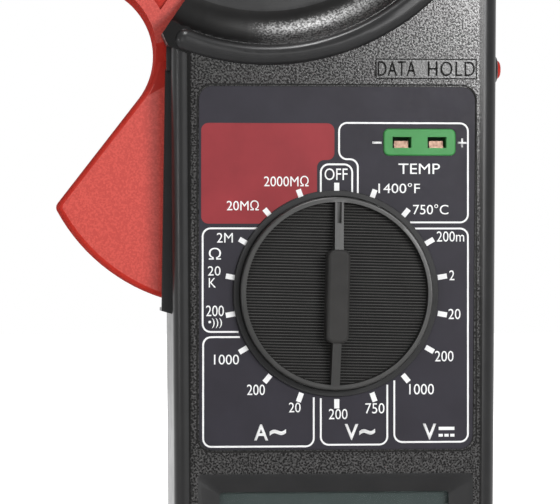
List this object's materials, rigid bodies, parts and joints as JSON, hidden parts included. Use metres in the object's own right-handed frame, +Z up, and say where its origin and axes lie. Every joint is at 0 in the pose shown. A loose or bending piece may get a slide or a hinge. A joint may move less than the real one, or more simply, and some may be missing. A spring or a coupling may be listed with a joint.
{
  "type": "digital clamp meter",
  "caption": "Handheld digital clamp meter with a hinged red jaw and lever, a round range knob, a display and three input jacks.",
  "frame": {"origin": "middle of the flat bottom end, on the parting plane of the two case halves", "axes": "+Z up the body to the jaws, front panel faces -Y, +X to the right seen from the front"},
  "size_m": [0.096, 0.037, 0.23],
  "materials": {
    "black_case": "fine sand texture, satin black",
    "knob_black": "satin black",
    "label_film": "dark charcoal printed film",
    "clear_window": "clear polished",
    "display_glass": "grey green display glass",
    "inner_plastic": "ivory moulding",
    "rubber": "soft matte",
    "board": "green solder mask",
    "black_resin": "black resin",
    "blue_plastic": "blue coating",
    "tan_resin": "tan coating",
    "red_plastic": "red, fine sand texture with smooth edges",
    "green_plastic": "green",
    "core_steel": "ground laminations",
    "steel": "bright plated steel",
    "copper": "copper",
    "brass": "bright brass",
    "lead_red": "red insulated wire",
    "battery_jacket": "plain printed jacket"
  },
  "bodies": {
    "case": {"front_case": "black_case", "rear_case": "black_case", "battery_door": "black_case", "fixed_jaw_front": "black_case", "fixed_jaw_rear": "black_case", "battery_door_screw": "steel", "case_screws": "steel", "panel_label": "label_film", "lcd_window": "clear_window", "lcd_cell": "display_glass", "lcd_frame": "inner_plastic", "zebra_strips": "rubber", "main_board": "board", "board_screws": "steel", "meter_chip": "black_resin", "trimmers": "blue_plastic", "capacitors": "blue_plastic", "varistor": "blue_plastic", "resistors": "tan_resin", "buzzer": "black_resin", "hold_switch": "inner_plastic", "hold_spring": "steel", "thermocouple_socket": "green_plastic", "thermocouple_contacts": "copper", "pivot_pin": "steel", "lever_spring": "steel", "fixed_core": "core_steel", "coil_bobbin": "inner_plastic", "coil_winding": "copper", "coil_leads": "lead_red", "battery": "battery_jacket", "battery_snap": "black_resin", "battery_leads": "lead_red", "ext_jack_insulator": "knob_black", "ext_jack_sleeve": "brass", "com_jack_insulator": "knob_black", "com_jack_sleeve": "brass", "volt_jack_insulator": "knob_black", "volt_jack_sleeve": "brass"},
    "jaw": {"moving_jaw_front": "red_plastic", "moving_jaw_rear": "red_plastic", "moving_core": "core_steel", "jaw_screws": "steel"},
    "knob": {"range_knob": "knob_black", "knob_rotor": "inner_plastic", "knob_screw": "steel", "wiper_contacts": "copper", "detent_balls": "steel", "detent_springs": "steel"},
    "button": {"hold_button": "red_plastic"}
  },
  "joints": [
    {"name": "jaw_pivot", "type": "hinge", "parent": "case", "child": "jaw", "pos_m": [-0.0308, 0, 0.1462], "axis": [0, -1, 0], "range_deg": [0, 30], "stiffness_Nm_per_rad": 0.8, "springref_deg": -8.59, "deforming": ["lever_spring"]},
    {"name": "range_knob_turn", "type": "hinge", "parent": "case", "child": "knob", "pos_m": [0, 0, 0.0891], "axis": [0, -1, 0], "continuous": true},
    {"name": "hold_press", "type": "slide", "parent": "case", "child": "button", "axis": [-1, 0, 0], "range_m": [0, 0.0012], "stiffness_N_per_m": 400, "springref_m": -0.0003, "deforming": ["hold_spring"]}
  ]
}
